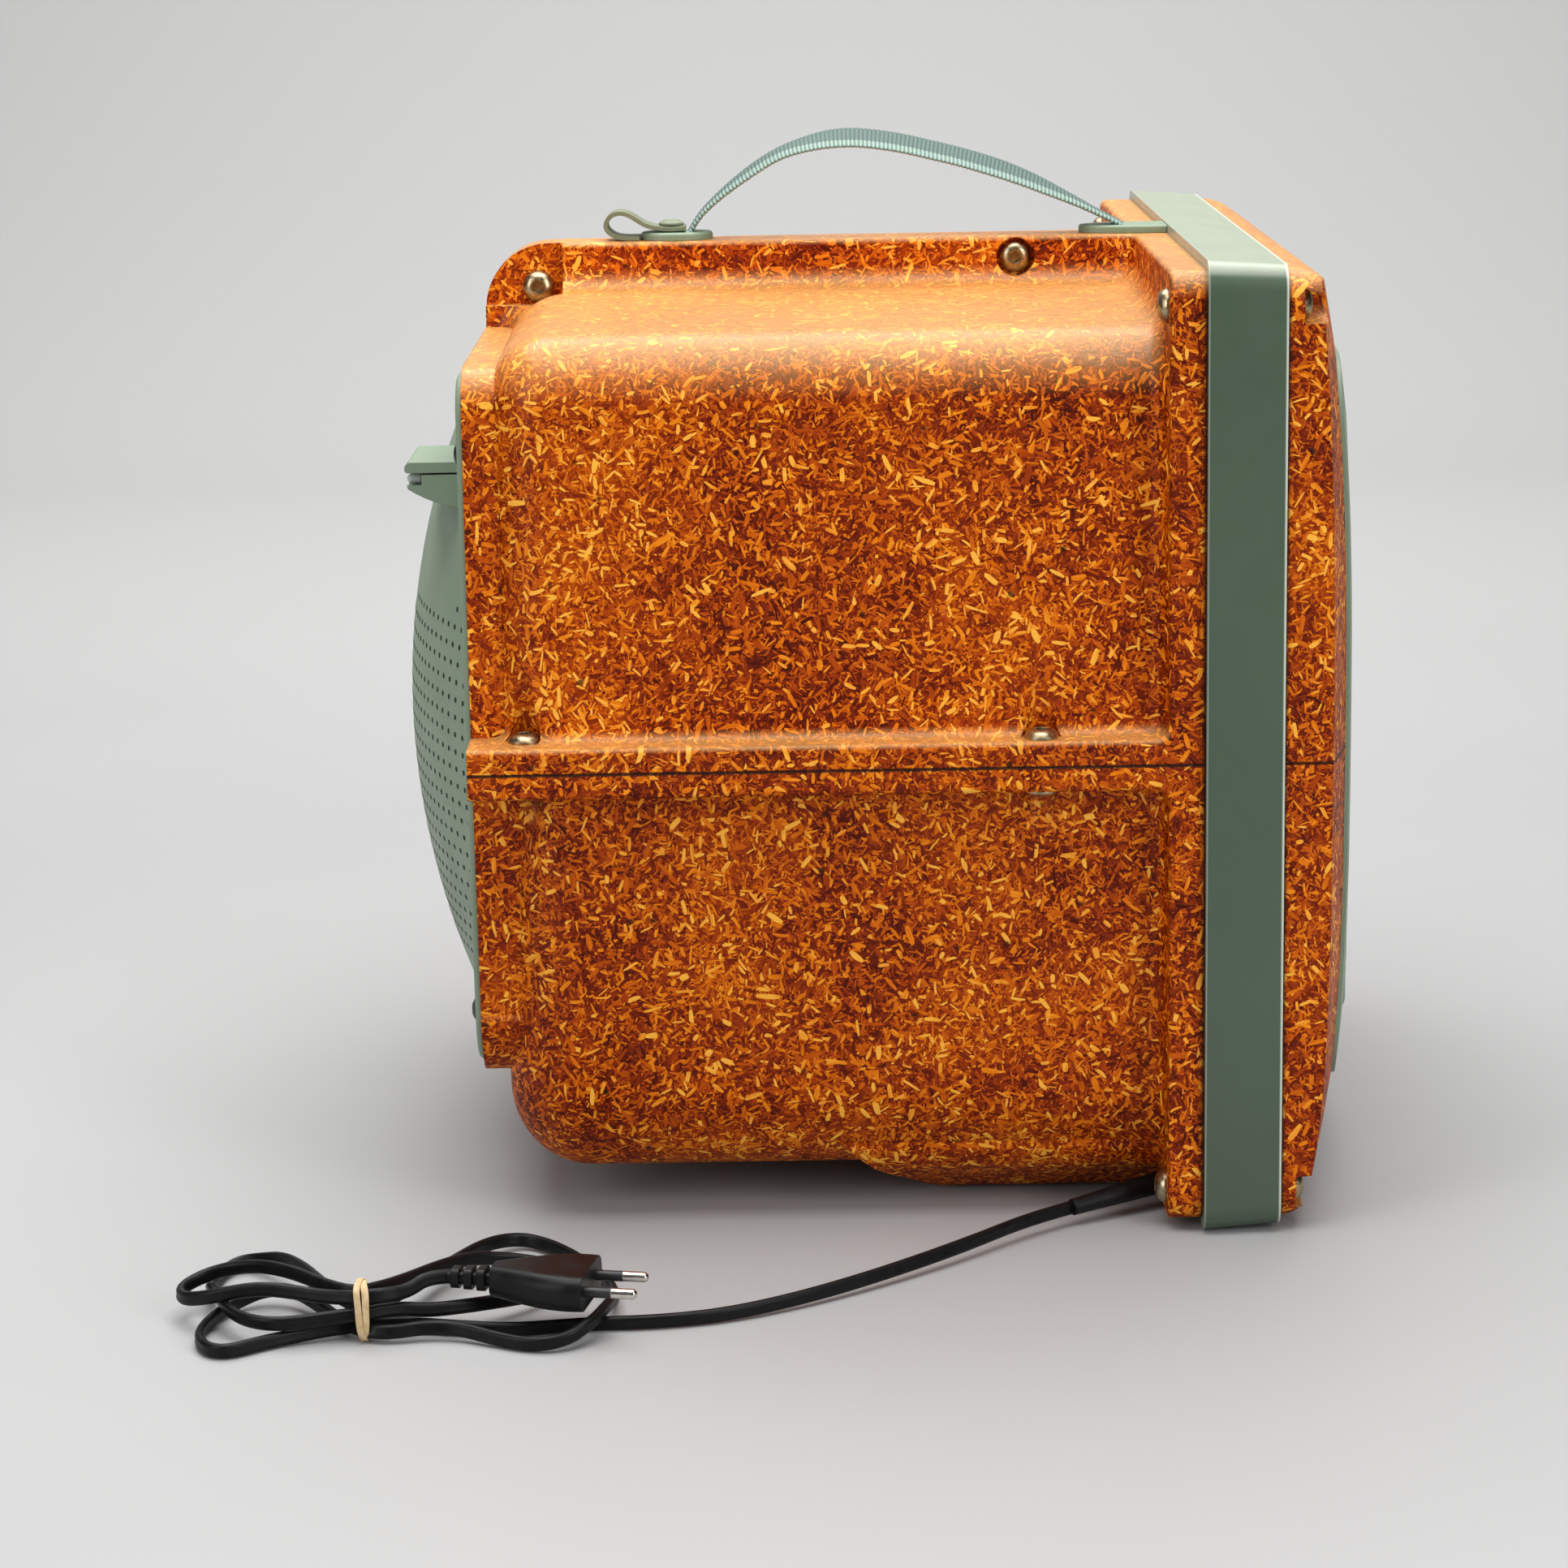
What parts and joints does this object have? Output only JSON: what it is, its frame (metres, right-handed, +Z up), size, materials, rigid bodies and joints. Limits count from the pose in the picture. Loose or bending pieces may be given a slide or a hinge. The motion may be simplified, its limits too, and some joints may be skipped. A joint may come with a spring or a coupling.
{
  "type": "portable television",
  "caption": "Portable picture-tube television in a moulded chipboard casing with a sage green hoop, domed rear cover, webbing strap and coiled mains lead.",
  "frame": {"origin": "on the floor, under the middle of the bounding box of the set without its mains lead", "axes": "+Z up; the screen faces -Y; +X is to the right when facing the screen"},
  "size_m": [0.51, 0.4658, 0.4218],
  "materials": {
    "chipboard": "varnished pressed chipboard, semi-gloss",
    "green_paint": "satin sage green",
    "green_plastic": "fine-grained sage green",
    "tab_rubber": "olive green, matt",
    "webbing": "woven pale green",
    "screen_glass": "dark tinted, glossy",
    "cone_glass": "graphite coated",
    "steel_band": "zinc plated",
    "yoke_ferrite": "copper windings on ferrite",
    "white_plastic": "natural white",
    "circuit_board": "brown laminate",
    "coil_tape": "black tape",
    "dark_plastic": "black, moulded",
    "tin_plate": "tin plate",
    "raw_aluminium": "extruded",
    "capacitor_sleeve": "shrink sleeve",
    "ir_plastic": "dark red",
    "button_plastic": "dark sage green",
    "bronzed_steel": "bronzed, worn",
    "black_steel": "blackened",
    "socket_brass": "plated",
    "bright_chrome": "polished",
    "tip_plastic": "light grey",
    "lead_sheath": "black, semi-gloss",
    "elastic_band": "tan, natural rubber",
    "plug_rubber": "black, moulded",
    "pin_nickel": "nickel plated, black sleeves"
  },
  "bodies": {
    "set": {"aerial_root": "socket_brass", "aerial_socket": "socket_brass", "band_ring": "green_paint", "board_capacitors": "capacitor_sleeve", "chassis_board": "circuit_board", "chassis_frame": "dark_plastic", "control_board": "circuit_board", "cord_hank": "lead_sheath", "corner_bolts": "bronzed_steel", "corner_nuts": "bronzed_steel", "cover_screws": "black_steel", "crt_funnel": "cone_glass", "crt_panel": "screen_glass", "crt_rim_band": "steel_band", "deflection_yoke": "yoke_ferrite", "degauss_coil": "coil_tape", "flange_bolts": "bronzed_steel", "flange_nuts": "bronzed_steel", "flyback_transformer": "dark_plastic", "front_bezel": "green_plastic", "front_shell": "chipboard", "heat_sink": "raw_aluminium", "ir_window": "ir_plastic", "loudspeaker": "dark_plastic", "main_capacitor": "capacitor_sleeve", "mains_cord": "lead_sheath", "mains_transformer": "yoke_ferrite", "neck_board": "circuit_board", "plug_body": "plug_rubber", "plug_pins": "pin_nickel", "purity_rings": "white_plastic", "rear_cover": "green_plastic", "rear_shell_lower": "chipboard", "rear_shell_upper_left": "chipboard", "rear_shell_upper_right": "chipboard", "rubber_band": "elastic_band", "spine_bolts": "bronzed_steel", "spine_nuts": "bronzed_steel", "strain_relief": "lead_sheath", "strap": "webbing", "strap_loop_tab": "tab_rubber", "strap_plate_front": "green_plastic", "strap_plate_rear": "green_plastic", "strap_rivet": "tab_rubber", "tube_screws": "steel_band", "tuner_module": "tin_plate"},
    "power_button": {"power_button": "button_plastic"},
    "key_1": {"key_1": "button_plastic"},
    "key_2": {"key_2": "button_plastic"},
    "key_3": {"key_3": "button_plastic"},
    "key_4": {"key_4": "button_plastic"},
    "aerial_1": {"aerial_section_1": "bright_chrome"},
    "aerial_2": {"aerial_section_2": "bright_chrome"},
    "aerial_3": {"aerial_section_3": "bright_chrome", "aerial_tip": "tip_plastic"}
  },
  "joints": [
    {"name": "power_button_press", "type": "slide", "parent": "set", "child": "power_button", "axis": [0, 1, 0], "range_m": [0, 0.0025], "stiffness_N_per_m": 350, "springref_m": -0.001},
    {"name": "key_1_press", "type": "slide", "parent": "set", "child": "key_1", "axis": [0, 1, 0], "range_m": [0, 0.0012], "stiffness_N_per_m": 250, "springref_m": -0.001},
    {"name": "key_2_press", "type": "slide", "parent": "set", "child": "key_2", "axis": [0, 1, 0], "range_m": [0, 0.0012], "stiffness_N_per_m": 250, "springref_m": -0.001},
    {"name": "key_3_press", "type": "slide", "parent": "set", "child": "key_3", "axis": [0, 1, 0], "range_m": [0, 0.0012], "stiffness_N_per_m": 250, "springref_m": -0.001},
    {"name": "key_4_press", "type": "slide", "parent": "set", "child": "key_4", "axis": [0, 1, 0], "range_m": [0, 0.0012], "stiffness_N_per_m": 250, "springref_m": -0.001},
    {"name": "aerial_1_pull", "type": "slide", "parent": "set", "child": "aerial_1", "axis": [0, 1, 0], "range_m": [0, 0.14]},
    {"name": "aerial_2_pull", "type": "slide", "parent": "aerial_1", "child": "aerial_2", "axis": [0, 1, 0], "range_m": [0, 0.142]},
    {"name": "aerial_3_pull", "type": "slide", "parent": "aerial_2", "child": "aerial_3", "axis": [0, 1, 0], "range_m": [0, 0.144]}
  ]
}
